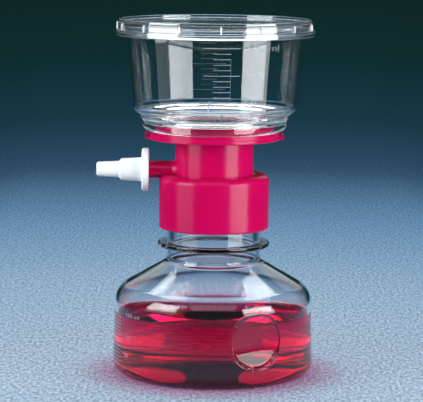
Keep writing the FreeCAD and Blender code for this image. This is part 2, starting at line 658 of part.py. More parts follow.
def tubing_adapter():
    """Push-on adapter: finger flange, sleeve on the side arm and a tapered hose spigot."""
    body = new_body("tubing_adapter")
    flange_face = "(sleeve_start + adapter_flange_thickness)"
    turned(body, "AdapterSection", [
        ("-sleeve_start", "sleeve_bore_radius"),
        ("-sleeve_start", "adapter_flange_radius"),
        (f"-({flange_face} - adapter_flange_bevel)", "adapter_flange_radius"),
        (f"-{flange_face}", "adapter_flange_radius - adapter_flange_bevel * 2 / 3"),
        (f"-{flange_face}", "sleeve_end_radius + adapter_taper"),
        ("-sleeve_end", "sleeve_end_radius"),
        ("-spigot_start", "adapter_spigot_radius"),
        ("-(spigot_end - adapter_tip_bevel)", "adapter_tip_radius"),
        ("-spigot_end", "adapter_tip_radius - adapter_tip_bevel"),
        ("-spigot_end", "adapter_bore_radius"),
        ("-sleeve_stop", "adapter_bore_radius"),
        ("-sleeve_stop", "sleeve_bore_radius"),
    ], axis="H_Axis")
    body.setExpression("Placement.Base.z", bound("arm_height"))
    return body


# ---------------------------------------------------------------- build, test and write

bottle, liquid = receiver_and_filtrate()
pieces = [
    bottle,
    liquid,
    tube("neck_seal", "neck_radius", "neck_bore_radius", "lip_height", "seal_thickness"),
    filter_base(),
    tube("membrane", "membrane_radius", "0", "boss_height", "membrane_thickness"),
    cotton_plug(),
    funnel(),
    lid(),
    tubing_adapter(),
]
doc.recompute()

for item in doc.Objects:
    if "Invalid" in item.State or "Error" in item.State:
        raise RuntimeError(f"{item.Label} failed: {item.State}")
for piece in pieces:
    if piece.Shape.isNull() or not piece.Shape.isValid():
        raise RuntimeError(f"{piece.Label} has no valid shape")
    if len(piece.Shape.Solids) != 1:
        raise RuntimeError(f"{piece.Label} is {len(piece.Shape.Solids)} solids")

os.makedirs("parts", exist_ok=True)
for piece in pieces:
    piece.Shape.exportStep(os.path.join("parts", piece.Label + ".step"))
    box = piece.Shape.BoundBox
    print(f"{piece.Label}: {piece.Shape.Volume:.1f} mm3, z {box.ZMin:.2f} to {box.ZMax:.2f}")
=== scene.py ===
"""Looks of the vacuum filtration unit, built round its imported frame.

The clear bottle, funnel and lid, the filter base and the tubing adapter are turned outlines
with rounded corners.  Outlines are in millimetres: turned_mesh(), plate() and numerals() make
meshes in metres of them.  The floor, the lamps and the camera are in metres.
"""
import math

import bmesh
import bpy
import numpy as np
from mathutils import Matrix, Vector

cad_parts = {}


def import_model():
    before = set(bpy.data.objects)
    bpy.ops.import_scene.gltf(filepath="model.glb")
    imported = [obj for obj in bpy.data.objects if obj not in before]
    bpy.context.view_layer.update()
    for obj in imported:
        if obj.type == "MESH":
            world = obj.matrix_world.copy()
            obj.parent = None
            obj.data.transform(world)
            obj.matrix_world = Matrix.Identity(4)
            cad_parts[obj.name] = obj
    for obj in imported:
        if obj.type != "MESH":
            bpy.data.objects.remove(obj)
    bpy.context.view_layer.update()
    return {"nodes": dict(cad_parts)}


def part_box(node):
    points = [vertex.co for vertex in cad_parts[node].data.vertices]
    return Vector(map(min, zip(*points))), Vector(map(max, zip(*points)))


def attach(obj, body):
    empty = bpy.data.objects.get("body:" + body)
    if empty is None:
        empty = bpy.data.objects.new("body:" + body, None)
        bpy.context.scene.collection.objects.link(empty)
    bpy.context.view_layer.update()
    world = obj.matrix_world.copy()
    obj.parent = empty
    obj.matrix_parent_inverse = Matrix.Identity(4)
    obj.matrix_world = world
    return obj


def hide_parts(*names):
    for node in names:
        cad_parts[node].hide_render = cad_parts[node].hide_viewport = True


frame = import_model()

MILLIMETRE = 0.001


# ---------------------------------------------------------------- places read from the frame

def span(node):
    """Lowest and highest corners of a CAD node in millimetres."""
    low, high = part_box(node)
    return low / MILLIMETRE, high / MILLIMETRE


BOTTLE_HIGH = span("receiver_bottle")[1]
BASE_LOW, BASE_HIGH = span("filter_base")
FUNNEL_LOW, FUNNEL_HIGH = span("funnel")
LID_LOW, LID_HIGH = span("lid")
ADAPTER_LOW, ADAPTER_HIGH = span("tubing_adapter")
MEMBRANE_LOW, MEMBRANE_HIGH = span("membrane")


# ---------------------------------------------------------------- sizes in millimetres

# most turn and most length of one step along a rounded corner
ARC_TURN = math.radians(14)
ARC_STEP = 0.4

# steps all round
BASE_STEPS = 224
ARM_STEPS = 64
MEMBRANE_STEPS = 128
CLEAR_STEPS = 256
ADAPTER_STEPS = 112
FLOOR_STEPS = 96

# bottle
LIP = BOTTLE_HIGH.z
BOTTLE_WALL = 1.6
BOTTLE_RADIUS = 45.78
WALL_TAPER = 1.15
SHOULDER_HEIGHT = 38.8
SHOULDER_RADIUS = BOTTLE_RADIUS - WALL_TAPER
SHOULDER_ROUND = 9.5
SHOULDER_WALL = 1.75
SHOULDER_INNER_ROUND = 8.5
FOOT_ROUND = 6.0
FOOT_INNER = 36.5
PUSHUP = 3.2
NECK_RADIUS = 21.6
NECK_BASE = 52.1
NECK_BORE = 18.4
NECK_STEP = 59.5
NECK_STEP_FALL = 1.5
RING_RADIUS = 25.4
RING_BOTTOM = 58.5
RING_TOP = 60.7

# thumb grip, how far it is from the front, and how finely the walls are divided round it
GRIP_AZIMUTH = math.radians(26.2)
GRIP_HEIGHT = 21.7
GRIP_DEPTH = 3.9
GRIP_RADIUS = 11.4
GRIP_EDGE = 0.6
GRIP_INNER_EDGE = 1.3
GRIP_DISH = 50.0
GRIP_WALL_SHARE = 0.15
GRIP_BAND = 13.5
GRIP_ROW = 0.42
LIQUID_ROW = 0.32
GRIP_SPREAD = math.radians(19)
GRIP_STEPS = 90
PLAIN_STEPS = 152

# liquid
LIQUID_LEVEL = 28.1
LIQUID_OVERLAP = 0.12
LIQUID_CLIMB = 0.7

# neck thread; the fade is the share of a turn over which the ridge rises and ends
THREAD_PITCH = 4.23
THREAD_TURNS = 1.25
THREAD_DEPTH = 0.95
THREAD_START = 76.0
THREAD_AZIMUTH = math.radians(24.4)
THREAD_HALF_WIDTH = 1.0
THREAD_FLANK = 0.55
THREAD_FADE = 0.03
THREAD_ROW = 0.3
THREAD_BELOW, THREAD_ABOVE = 1.5, 8

# filter base
SEAM = 0.04
COLLAR_BOTTOM = BASE_LOW.z
COLLAR_TOP = 91.4
COLLAR_RADIUS = 25.0
COLLAR_BORE = 22.9
SEAL_TOP = 88.9
STEM_FOOT = 17.85
STEM_RADIUS = 17.6
STEM_BORE = 15.7
STEM_GROOVE = 0.9
SPOUT_RADIUS = 5.0
SPOUT_BORE = 3.6
SPOUT_BOTTOM = 84.0
FLANGE = 107.3
FLANGE_THICKNESS = 1.8
FLANGE_MARGIN = 0.35
PLATE_RADIUS = 29.15
PLATE_TOP = FUNNEL_LOW.z
BOSS_RADIUS = 27.0
BOSS_TOP = BASE_HIGH.z
DRAIN_RADIUS = 23.4
DRAIN_DEPTH = 0.9
DRAIN_FALL = 1.4
DRAIN_RIBS = 12
DRAIN_RIB_WIDTH = 0.9
DRAIN_RIB_START = 0.9
DRAIN_RIB_SINK = 0.3
ARM_RADIUS = 4.0
ARM_BORE = 2.6
ARM_HEIGHT = (ADAPTER_LOW.z + ADAPTER_HIGH.z) / 2
ARM_REACH = -BASE_LOW.x
HOOK_REACH = BASE_HIGH.x
HOOK_POST = 1.5
HOOK_TOP = 110.1
HOOK_FLOOR = 108.3
HOOK_HALF_ANGLE = math.radians(6)

# funnel
FUNNEL_WALL = 1.35
FUNNEL_MOUTH = 23.6
SKIRT_RADIUS = 32.75
SKIRT_TOP = 116.0
RING_2_RADIUS = 34.05
RING_2_HEIGHT = 117.6
LEDGE_RADIUS = 31.0
LEDGE_DROP = 3.2
FUNNEL_FLOOR = 120.8
WALL_FOOT = 121.9
WALL_FOOT_RADIUS = 37.2
WALL_TOP = FUNNEL_HIGH.z - 3.9
WALL_TOP_RADIUS = FUNNEL_HIGH.x - 2.1
BEAD_HEIGHT = 3.2

# lid
STACK_HEIGHT = 1.3
LID_TOP = LID_HIGH.z - STACK_HEIGHT
LID_UNDER = FUNNEL_HIGH.z + 0.8
LID_SKIRT = LID_HIGH.x - 0.8
LID_BAND_TOP = FUNNEL_HIGH.z - 1.2
LID_WALL = 1.0
LID_RIBS = 15
LID_RIB_WIDTH = 0.9
LID_TAB_WIDTH = 0.7
RIB_AZIMUTH = math.radians(3.2 - 90)

# tubing adapter
ADAPTER_BORE = ARM_RADIUS + 0.07
ADAPTER_FLANGE = 2.45
ADAPTER_FLANGE_TAPER = 0.53
SLEEVE_START = 3.25
SLEEVE_RADIUS = 5.46
SLEEVE_END_RADIUS = 4.95
SPIGOT_RADIUS = 3.7
SPIGOT_TIP_RADIUS = 3.25
SPIGOT_BORE = 1.9
SLEEVE_OVERHANG = 1.1
STOP_GAP = 0.3

# graduations and index ribs: azimuths are in degrees from the front, to the right, and
# SCALE_150 is the height of the funnel's 150 mL line, SCALE_STEP the rise for 10 mL
MARK_RISE = 0.07
MARK_SINK = 0.05
SCALE_150 = 150.6
SCALE_STEP = 2.4
LONG_MARK = (-7.6, 15.8)
SHORT_MARK = (-1.3, 10.0)
NUMERAL_AZIMUTH = 19.0
NUMERAL_HEIGHT = 3.2
NUMERAL_STRETCH = 1.5
NUMERAL_FONT_SIZE = 1.35
NUMERAL_THINNING = 0.03
NUMERAL_RISE = 0.06
INDEX_WIDTH = 0.55
INDEX_HEIGHT = 5.4
INDEX_AZIMUTH = -4.2
BOWL_INDEX_AZIMUTH = 4.9
BOTTLE_MARKS = 14
BOTTLE_MARK = (-79, -66.5)
BOTTLE_MARK_STEP = 1.66
BOTTLE_NUMERAL_AZIMUTH = -61.0


# ---------------------------------------------------------------- floor, light and camera in metres

# Beyond FLOOR_EDGE in front of the object and FLOOR_SIDE beside it, each metre of floor counts
# FLOOR_FALL times. The two lists give a colour at each distance: that of the paper under the
# lamps, and that of its own glow, which fills in for the photograph's backdrop. Both hold painted
# light: a painted pool of light, pale near the object and falling off to deep green far from it,
# and the glow itself, though the floor is no lamp.
FLOOR_RADIUS = 12.0
FLOOR_EDGE = 0.07
FLOOR_SIDE = 0.14
FLOOR_FALL = 6.0
FLOOR_RAMP = 4.0
FLOOR_COLOURS = [
    # painted light: pink out to 45 mm from the axis, fading by 49 mm, for light that falls through
    # the red liquid
    (0.045, (0.20, 0.10, 0.18)),
    (0.049, (0.20, 0.195, 0.25)),
    (0.056, (0.195, 0.232, 0.278)),
    (0.12, (0.178, 0.211, 0.253)),
    (0.25, (0.16, 0.2, 0.247)),
    (0.5, (0.075, 0.117, 0.175)),
    (0.9, (0.015, 0.035, 0.055)),
    (2.0, (0.005, 0.01, 0.015)),
]
FLOOR_GLOW = [
    # painted light: a pink glow out to 40 mm from the axis, fading by 53 mm, for light that falls
    # through the red liquid
    (0.04, (0.16, 0.02, 0.08)),
    (0.053, (0.15, 0.17, 0.24)),
    (0.07, (0.16, 0.215, 0.29)),
    (0.14, (0.15, 0.227, 0.31)),
    (0.3, (0.111, 0.206, 0.316)),
    (0.5, (0.072, 0.163, 0.278)),
    (0.78, (0.018, 0.056, 0.105)),
    (1.25, (0.008, 0.037, 0.056)),
    (2.2, (0.005, 0.026, 0.030)),
    (4.0, (0.005, 0.022, 0.021)),
]
WORLD_COLOUR = (0.006, 0.026, 0.028)

# azimuths are in degrees from the front, to the right
LAMP_COLOUR = (0.93, 0.98, 1.0)
LEFT_AZIMUTH, RIGHT_AZIMUTH, REAR_AZIMUTH = -61, 53, 161
SIDE_DISTANCE, SIDE_WIDTH = 0.35, 0.24
LOW_BOTTOM, LOW_TOP, LEFT_TOP, RIGHT_TOP = 0.005, 0.085, 0.31, 0.23
REAR_DISTANCE, REAR_WIDTH, REAR_BOTTOM, REAR_TOP = 1.1, 0.5, 0.25, 0.85
HIGH_RADIANCE = 6.7
RIGHT_SHARE = 1.2
LOW_LEFT_RADIANCE, LOW_RIGHT_RADIANCE = 1.5, 6.0
REAR_RADIANCE = 0.3
FRONT_PLACE, FRONT_SIZE, FRONT_RADIANCE = (0, -0.75, 0.75), (0.9, 0.55), 1.0
TOP_PLACE, TOP_SIZE, TOP_RADIANCE = (0, 0.3, 0.8), (1.0, 0.6), 2.8
LAMP_TARGET = (0, 0, 0.1)

# the focal length is in millimetres, the turns are in degrees
CAMERA_PLACE = (0, -0.9679, 0.2090)
FOCAL_LENGTH = 182.66
CAMERA_YAW, CAMERA_DIP, CAMERA_ROLL = 0.065, 7.661, 0.531


# ---------------------------------------------------------------- outlines and turned meshes

def rounded(corners):
    """Outline whose corners (radius, height, rounding) are replaced by arcs."""
    places = [Vector(corner[:2]) for corner in corners]
    count = len(corners)
    halves, reaches = [0.0] * count, [0.0] * count
    for index, corner in enumerate(corners):
        if len(corner) > 2:
            back = places[index - 1] - places[index]
            ahead = places[(index + 1) % count] - places[index]
            halves[index] = back.angle(ahead) / 2
            reaches[index] = corner[2] / math.tan(halves[index])
    for index in range(count):
        after = (index + 1) % count
        room = (places[after] - places[index]).length * 0.96
        wanted = reaches[index] + reaches[after]
        if wanted > room:
            reaches[index] *= room / wanted
            reaches[after] *= room / wanted
    points = []
    for index, here in enumerate(places):
        if not reaches[index]:
            points.append(here)
            continue
        back = (places[index - 1] - here).normalized()
        ahead = (places[(index + 1) % count] - here).normalized()
        half, reach = halves[index], reaches[index]
        centre = here + (back + ahead).normalized() * reach / math.cos(half)
        start = here + back * reach - centre
        turn = start.angle_signed(here + ahead * reach - centre)
        length = abs(turn) * start.length
        steps = max(3, math.ceil(abs(turn) / ARC_TURN), math.ceil(length / ARC_STEP))
        points += [centre + Matrix.Rotation(-turn * k / steps, 2) @ start for k in range(steps + 1)]
    return points


def supported(points, closed, gap=0.15):
    """The outline with points close to both ends of each long straight stretch."""
    result = []
    count = len(points)
    for index, here in enumerate(points):
        result.append(here)
        if index == count - 1 and not closed:
            break
        run = points[(index + 1) % count] - here
        if run.length > 4 * gap:
            result.append(here + run.normalized() * gap)
            result.append(here + run.normalized() * (run.length - gap))
    return result


def with_rows(points, low, high, step, inside=0.0):
    """The outline with more points on steep stretches between two heights, beyond a radius."""
    result = []
    for here, there in zip(points, points[1:]):
        result.append(here)
        steep = abs(there.y - here.y) > 3 * abs(there.x - here.x)
        if steep and min(here.x, there.x) > inside:
            count = math.ceil(abs(there.y - here.y) / step)
            rows = [here.lerp(there, k / count) for k in range(1, count)]
            result += [row for row in rows if low < row.y < high]
    return result + points[-1:]


def even_angles(count):
    """Angles all round in even steps."""
    return np.linspace(0, 2 * math.pi, count, endpoint=False)


def turned_mesh(name, outline, angles, closed, shape=None, full=True):
    """Mesh in metres of an outline turned about Z through the given angles, capped if not full.

    shape may move the finished points: it takes and gives arrays of x, y and z.
    """
    base = np.array([tuple(p) for p in outline], float)
    radius = np.repeat(base[:, :1], len(angles), axis=1)
    x, y = radius * np.cos(angles), radius * np.sin(angles)
    z = np.repeat(base[:, 1:], len(angles), axis=1)
    if shape:
        x, y, z = shape(x, y, z)
    count, around = len(base), len(angles)
    axis_rows = [i for i in (0, count - 1) if not closed and base[i, 0] < 1e-6]
    points = np.stack([x, y, z], axis=-1).reshape(-1, 3)
    index = np.arange(count * around).reshape(count, around)
    for row in axis_rows:
        index[row, :] = index[row, 0]
    faces = []
    for i in range(count if closed else count - 1):
        a, b = index[i], index[(i + 1) % count]
        for j in range(around if full else around - 1):
            k = (j + 1) % around
            if a[j] == a[k]:
                faces.append((a[j], b[k], b[j]))
            elif b[j] == b[k]:
                faces.append((a[j], a[k], b[j]))
            else:
                faces.append((a[j], a[k], b[k], b[j]))
    if not full:
        faces += [tuple(index[:, 0]), tuple(index[::-1, -1])]
    mesh = bpy.data.meshes.new(name)
    mesh.from_pydata((points * MILLIMETRE).tolist(), [], [tuple(int(v) for v in f) for f in faces])
    return mesh


def clean_mesh(mesh, sharp_angle=math.radians(35)):
    """Remove loose points, turn the faces outwards and shade the mesh smooth."""
    work = bmesh.new()
    work.from_mesh(mesh)
    loose = [v for v in work.verts if not v.link_faces]
    bmesh.ops.delete(work, geom=loose, context="VERTS")
    if work.calc_volume(signed=True) < 0:
        bmesh.ops.reverse_faces(work, faces=work.faces)
    work.to_mesh(mesh)
    work.free()
    mesh.shade_smooth()
    mesh.set_sharp_from_angle(angle=sharp_angle)


def new_piece(name, mesh, material, body, replaced=()):
    """A finished piece from a mesh that is already in metres."""
    clean_mesh(mesh)
    mesh.materials.clear()
    mesh.materials.append(material)
    piece = bpy.data.objects.new(name, mesh)
    bpy.context.scene.collection.objects.link(piece)
    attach(piece, body)
    if replaced:
        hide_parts(*replaced)
    return piece


# ---------------------------------------------------------------- materials

def shader(name):
    """A new node material: the material, its Principled shader and its node tree."""
    material = bpy.data.materials.new(name)
    material.use_nodes = True
    return material, material.node_tree.nodes["Principled BSDF"], material.node_tree


def noise(tree, scale, detail=3.0, stretch=(1.0, 1.0, 1.0)):
    """Noise over the object's own space, given as a factor socket."""
    place = tree.nodes.new("ShaderNodeTexCoord")
    mapping = tree.nodes.new("ShaderNodeMapping")
    mapping.inputs["Scale"].default_value = stretch
    texture = tree.nodes.new("ShaderNodeTexNoise")
    texture.inputs["Scale"].default_value = scale
    texture.inputs["Detail"].default_value = detail
    tree.links.new(place.outputs["Object"], mapping.inputs["Vector"])
    tree.links.new(mapping.outputs["Vector"], texture.inputs["Vector"])
    return texture.outputs["Fac"]


def ramp(tree, factor, low, high, start=0.3, end=0.7):
    """A value or colour that goes from low to high with the factor."""
    node = tree.nodes.new("ShaderNodeValToRGB")
    for element, place, colour in zip(node.color_ramp.elements, (start, end), (low, high)):
        shade = colour if isinstance(colour, tuple) else (colour, colour, colour)
        element.position = place
        element.color = (*shade, 1.0)
    tree.links.new(factor, node.inputs["Fac"])
    return node.outputs["Color"]


def bump(tree, principled, factor, strength, depth):
    """Raise the surface by the factor, by up to depth in metres."""
    node = tree.nodes.new("ShaderNodeBump")
    node.inputs["Strength"].default_value = strength
    node.inputs["Distance"].default_value = depth
    tree.links.new(factor, node.inputs["Height"])
    tree.links.new(node.outputs["Normal"], principled.inputs["Normal"])


def clear_plastic(name, gloss, ripple, haze=(0.004, 0.03)):
    """Polished clear polystyrene: faint flow lines from the mould and a little haze.

    gloss scales how much it mirrors at a steep view; haze is its least and greatest roughness.
    """
    material, principled, tree = shader(name)
    principled.inputs["Transmission Weight"].default_value = 1.0
    principled.inputs["IOR"].default_value = 1.58
    principled.inputs["Specular Tint"].default_value = (gloss, gloss, gloss, 1.0)
    tree.links.new(ramp(tree, noise(tree, 38.0, 4.0), *haze), principled.inputs["Roughness"])
    tint = noise(tree, 21.0, 2.0)
    tree.links.new(ramp(tree, tint, (0.985, 0.992, 0.995), (1.0, 1.0, 1.0)),
                   principled.inputs["Base Color"])
    bump(tree, principled, noise(tree, 55.0, 1.0, (1.0, 1.0, 0.35)), ripple, 0.0002)
    return material


def red_liquid():
    """Clear red liquid: the colour comes from how far light passes through it."""
    material, principled, tree = shader("red_liquid")
    principled.inputs["Transmission Weight"].default_value = 1.0
    principled.inputs["IOR"].default_value = 1.333
    principled.inputs["Specular Tint"].default_value = (0.1, 0.1, 0.1, 1.0)
    principled.inputs["Roughness"].default_value = 0.0
    tint = noise(tree, 12.0, 2.0)
    tree.links.new(ramp(tree, tint, (1.0, 0.86, 0.93), (1.0, 0.9, 0.96)),
                   principled.inputs["Base Color"])
    absorption = tree.nodes.new("ShaderNodeVolumeAbsorption")
    absorption.inputs["Color"].default_value = (0.97, 0.0, 0.57, 1.0)
    absorption.inputs["Density"].default_value = 83.0
    tree.links.new(absorption.outputs["Volume"], tree.nodes["Material Output"].inputs["Volume"])
    return material


def moulded_plastic(name, dark, light, rough, gloss, grain):
    """Opaque moulded plastic with a slightly uneven colour, gloss and surface."""
    material, principled, tree = shader(name)
    principled.inputs["Specular IOR Level"].default_value = gloss
    tree.links.new(ramp(tree, noise(tree, 60.0, 4.0), dark, light), principled.inputs["Base Color"])
    tree.links.new(ramp(tree, noise(tree, 150.0, 3.0), rough - 0.05, rough + 0.05),
                   principled.inputs["Roughness"])
    bump(tree, principled, noise(tree, 900.0, 2.0), grain, 0.00005)
    return material


def fibrous(name, dark, light, scale, depth):
    """Matt felted fibres, as in a membrane or cotton."""
    material, principled, tree = shader(name)
    principled.inputs["Roughness"].default_value = 0.9
    fibres = noise(tree, scale, 8.0, (1.0, 3.0, 1.0))
    tree.links.new(ramp(tree, fibres, dark, light), principled.inputs["Base Color"])
    bump(tree, principled, fibres, 0.6, depth)
    return material


def soft_rubber():
    """Pale gasket rubber."""
    material, principled, tree = shader("seal_rubber")
    tree.links.new(ramp(tree, noise(tree, 300.0), (0.66, 0.65, 0.62), (0.74, 0.73, 0.7)),
                   principled.inputs["Base Color"])
    principled.inputs["Roughness"].default_value = 0.65
    bump(tree, principled, noise(tree, 1500.0), 0.3, 0.00005)
    return material


def frosted(name, dark, light, clear):
    """Slightly frosted raised marks, from opaque to clear."""
    material, principled, tree = shader(name)
    tree.links.new(ramp(tree, noise(tree, 500.0), dark, light), principled.inputs["Base Color"])
    principled.inputs["Roughness"].default_value = 0.5
    principled.inputs["Transmission Weight"].default_value = clear
    bump(tree, principled, noise(tree, 1800.0), 0.3, 0.00003)
    return material


# ---------------------------------------------------------------- receiver bottle and filtrate

def sunk_grip(wall, edge):
    """Shape that sinks the thumb grip into a surface lying wall inside the bottle's outside.

    edge is the width over which the surface comes out of the grip.
    """
    axis = GRIP_AZIMUTH - math.pi / 2

    def shape(x, y, z):
        ahead = x * math.cos(axis) + y * math.sin(axis)
        aside = y * math.cos(axis) - x * math.sin(axis)
        distance = np.hypot(aside, z - GRIP_HEIGHT)
        dish = BOTTLE_RADIUS - GRIP_DEPTH - wall + distance ** 2 / (2 * GRIP_DISH)
        blend = np.clip((distance - GRIP_RADIUS - GRIP_WALL_SHARE * wall) / edge, 0, 1)
        blend = blend * blend * (3 - 2 * blend)
        sunk = np.where(ahead > dish, dish + (ahead - dish) * blend, ahead)
        return (sunk * math.cos(axis) - aside * math.sin(axis),
                sunk * math.sin(axis) + aside * math.cos(axis), z)
    return shape


def bottle_angles():
    """Fine steps across the thumb grip and coarser ones round the rest."""
    fine = np.linspace(-GRIP_SPREAD, GRIP_SPREAD, GRIP_STEPS)
    coarse = np.linspace(GRIP_SPREAD, 2 * math.pi - GRIP_SPREAD, PLAIN_STEPS)[1:-1]
    return np.sort(np.mod(np.concatenate([fine, coarse]) + GRIP_AZIMUTH - math.pi / 2, 2 * math.pi))


def thread_rise(angle, z):
    """Height of the neck's thread ridge over the neck at an angle and a height."""
    start = angle - THREAD_AZIMUTH
    rise = np.zeros_like(z)
    for turn in (0, 1):
        along = np.mod(start, 2 * math.pi) / (2 * math.pi) + turn
        off = np.abs(z - THREAD_START - along * THREAD_PITCH)
        profile = np.clip((THREAD_HALF_WIDTH - off) / THREAD_FLANK, 0, 1) * THREAD_DEPTH
        begun = np.clip(along / THREAD_FADE, 0, 1)
        to_go = np.clip((THREAD_TURNS - along) / THREAD_FADE, 0, 1)
        rise = np.maximum(rise, profile * (begun * to_go))
    return rise


def inner_shoulder(radius):
    """Height of the shoulder's inside at a radius: the wall is thickest at the neck."""
    run, rise = SHOULDER_RADIUS - NECK_RADIUS, NECK_BASE - SHOULDER_HEIGHT
    out = (radius - NECK_RADIUS) / run
    drop = math.hypot(run, rise) / run * (SHOULDER_WALL + (BOTTLE_WALL - SHOULDER_WALL) * out)
    return NECK_BASE - drop - rise * out


def inside_corners(grow=0.0):
    """Corners of the bottle's inside below the shoulder, moved out into the wall by grow."""
    wall = BOTTLE_WALL - grow
    return [
        (0, PUSHUP + wall),
        (FOOT_INNER, wall),
        (BOTTLE_RADIUS - wall, wall, FOOT_ROUND - wall),
    ]


def bottle_outline():
    """Outline of the bottle from its underside's middle, over the lip, to its inside's middle."""
    inner = SHOULDER_RADIUS - BOTTLE_WALL
    neck_inner = NECK_RADIUS - BOTTLE_WALL
    corners = [
        (0, PUSHUP),
        (FOOT_INNER, 0, 1.5),
        (BOTTLE_RADIUS, 0, FOOT_ROUND),
        (SHOULDER_RADIUS, SHOULDER_HEIGHT, SHOULDER_ROUND),
        (NECK_RADIUS, NECK_BASE, 1.6),
        (NECK_RADIUS, RING_BOTTOM, 0.3),
        (RING_RADIUS, RING_BOTTOM, 0.8),
        (RING_RADIUS, RING_TOP, 0.8),
        (NECK_RADIUS, RING_TOP, 0.3),
        (NECK_RADIUS, LIP, 0.5),
        (NECK_BORE, LIP, 0.5),
        (NECK_BORE, NECK_STEP, 0.8),
        (neck_inner, NECK_STEP - NECK_STEP_FALL, 0.8),
        (neck_inner, inner_shoulder(neck_inner), 5.0),
        (inner, inner_shoulder(inner), SHOULDER_INNER_ROUND),
    ] + inside_corners()[::-1]
    outline = supported(rounded(corners), closed=False)
    outline = with_rows(outline, GRIP_HEIGHT - GRIP_BAND, GRIP_HEIGHT + GRIP_BAND, GRIP_ROW)
    return with_rows(outline, THREAD_START - THREAD_BELOW, THREAD_START + THREAD_ABOVE,
                     THREAD_ROW, inside=NECK_RADIUS - 0.1)


def receiver_bottle(material):
    """Clear bottle: foot ring, sunk thumb grip, shoulder cone, support ring and thread."""
    outside = sunk_grip(0.0, GRIP_EDGE)
    inside = sunk_grip(BOTTLE_WALL, GRIP_INNER_EDGE)

    def shape(x, y, z):
        rise = thread_rise(np.arctan2(y, x), z)
        reach = np.hypot(x, y)
        on_neck = (np.abs(reach - NECK_RADIUS) < 0.01) & (z > RING_TOP + 1)
        grown = 1 + np.where(on_neck, rise / NECK_RADIUS, 0)
        x, y = x * grown, y * grown
        split = 1 + int(np.argmax(z[:, 0]))
        ox, oy, oz = outside(x[:split], y[:split], z[:split])
        ix, iy, iz = inside(x[split:], y[split:], z[split:])
        return np.vstack([ox, ix]), np.vstack([oy, iy]), np.vstack([oz, iz])

    mesh = turned_mesh("bottle", bottle_outline(), bottle_angles(), closed=False, shape=shape)
    return new_piece("bottle", mesh, material, "receiver", ["receiver_bottle"])


def filtrate(material):
    """The liquid, let a little into the bottle's wall so that no gap of air shows."""
    reach = BOTTLE_RADIUS - BOTTLE_WALL
    taper = WALL_TAPER / SHOULDER_HEIGHT
    level_radius = reach - taper * LIQUID_LEVEL
    corners = inside_corners(LIQUID_OVERLAP) + [
        (level_radius + LIQUID_OVERLAP, LIQUID_LEVEL + LIQUID_CLIMB),
        (level_radius - taper * LIQUID_CLIMB, LIQUID_LEVEL + LIQUID_CLIMB),
        (level_radius - 0.5, LIQUID_LEVEL + 0.2, 0.8),
        (level_radius - 2.0, LIQUID_LEVEL, 1.5),
        (0, LIQUID_LEVEL),
    ]
    outline = supported(rounded(corners), closed=False)
    outline = with_rows(outline, GRIP_HEIGHT - GRIP_BAND, GRIP_HEIGHT + GRIP_BAND, LIQUID_ROW)
    mesh = turned_mesh("liquid", outline, bottle_angles(), closed=False,
                       shape=sunk_grip(BOTTLE_WALL - LIQUID_OVERLAP, GRIP_INNER_EDGE))
    return new_piece("liquid", mesh, material, "receiver", ["filtrate"])


# ---------------------------------------------------------------- filter base and its inserts

def sector(name, outline, start, end, steps=12):
    """Closed mesh of an outline turned through part of a circle."""
    angles = np.linspace(start, end, steps + 1)
    return turned_mesh(name, outline, angles, closed=True, full=False)


def plate(corners, width, azimuth):
    """Mesh of a flat outline in a plane through the axis, thickened evenly to both sides."""
    across = Vector((-math.sin(azimuth), math.cos(azimuth), 0)) * width / 2
    out = Vector((math.cos(azimuth), math.sin(azimuth), 0))
    points = [out * r + Vector((0, 0, z)) + across * side for side in (-1, 1) for r, z in corners]
    count = len(corners)
    faces = [tuple(range(count)), tuple(range(2 * count - 1, count - 1, -1))]
    faces += [(i, (i + 1) % count, (i + 1) % count + count, i + count) for i in range(count)]
    mesh = bpy.data.meshes.new("plate")
    mesh.from_pydata([tuple(p * MILLIMETRE) for p in points], [], faces)
    return mesh


def along_arm(mesh, height):
    """Lay a mesh turned about Z along -X at the side arm's height."""
    rows = ((0, 0, -1, 0), (0, 1, 0, 0), (1, 0, 0, height * MILLIMETRE), (0, 0, 0, 1))
    mesh.transform(Matrix(rows))
    return mesh


def merged(mesh, tools, operation):
    """Mesh joined with, or cut by, closed tool meshes that don't meet each other."""
    for part in [mesh] + tools:
        clean_mesh(part)
    body = bpy.data.objects.new("merge_body", mesh)
    bpy.context.scene.collection.objects.link(body)
    cutter = bpy.data.objects.new("merge_tool", joined_mesh(tools))
    bpy.context.scene.collection.objects.link(cutter)
    modifier = body.modifiers.new("merge", "BOOLEAN")
    modifier.operation = operation
    modifier.solver = "EXACT"
    modifier.object = cutter
    graph = bpy.context.evaluated_depsgraph_get()
    result = bpy.data.meshes.new_from_object(body.evaluated_get(graph))
    bpy.data.objects.remove(body)
    bpy.data.objects.remove(cutter)
    return result


def joined_mesh(meshes):
    """One mesh that holds several."""
    work = bmesh.new()
    for mesh in meshes:
        work.from_mesh(mesh)
    result = bpy.data.meshes.new("joined")
    work.to_mesh(result)
    work.free()
    return result


